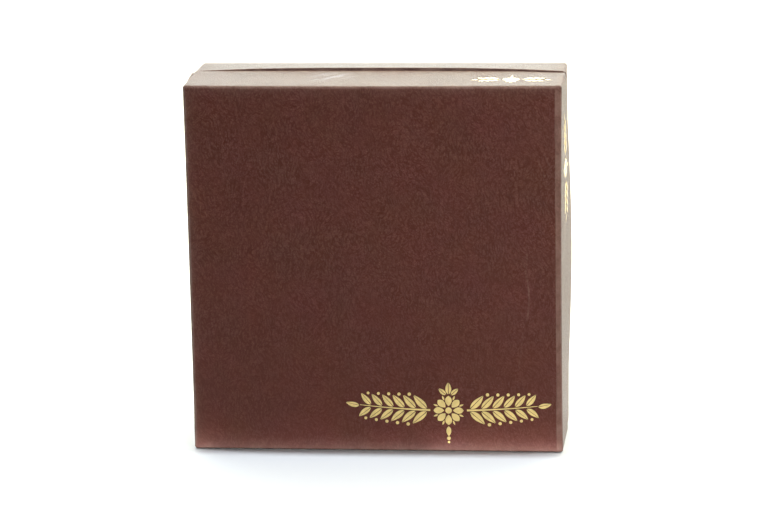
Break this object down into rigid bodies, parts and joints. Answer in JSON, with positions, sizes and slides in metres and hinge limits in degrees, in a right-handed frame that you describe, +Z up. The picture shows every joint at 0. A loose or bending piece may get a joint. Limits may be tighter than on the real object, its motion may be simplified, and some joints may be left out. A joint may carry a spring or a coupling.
{
  "type": "gift box",
  "caption": "Shut square gift box of wrapped board standing on edge: a deep lid half and a shallow base half meet rim to rim, in grained brown leatherette with foil ornaments.",
  "frame": {"origin": "centre of the foot: on the standing surface, midway between the sides and midway through the depth", "axes": "+Z up, the large front panel faces -Y, +X is to the right as the front panel is seen"},
  "size_m": [0.1566, 0.053, 0.1534],
  "materials": {
    "lid_wrap": "satin dark brown leatherette paper with a fine creased grain, over greyboard",
    "base_wrap": "satin dark brown leatherette paper with a fine creased grain, over greyboard",
    "foil": "hot-stamped pale gold foil, slightly uneven"
  },
  "bodies": {
    "root": {"lid": "lid_wrap", "base": "base_wrap"}
  },
  "joints": []
}
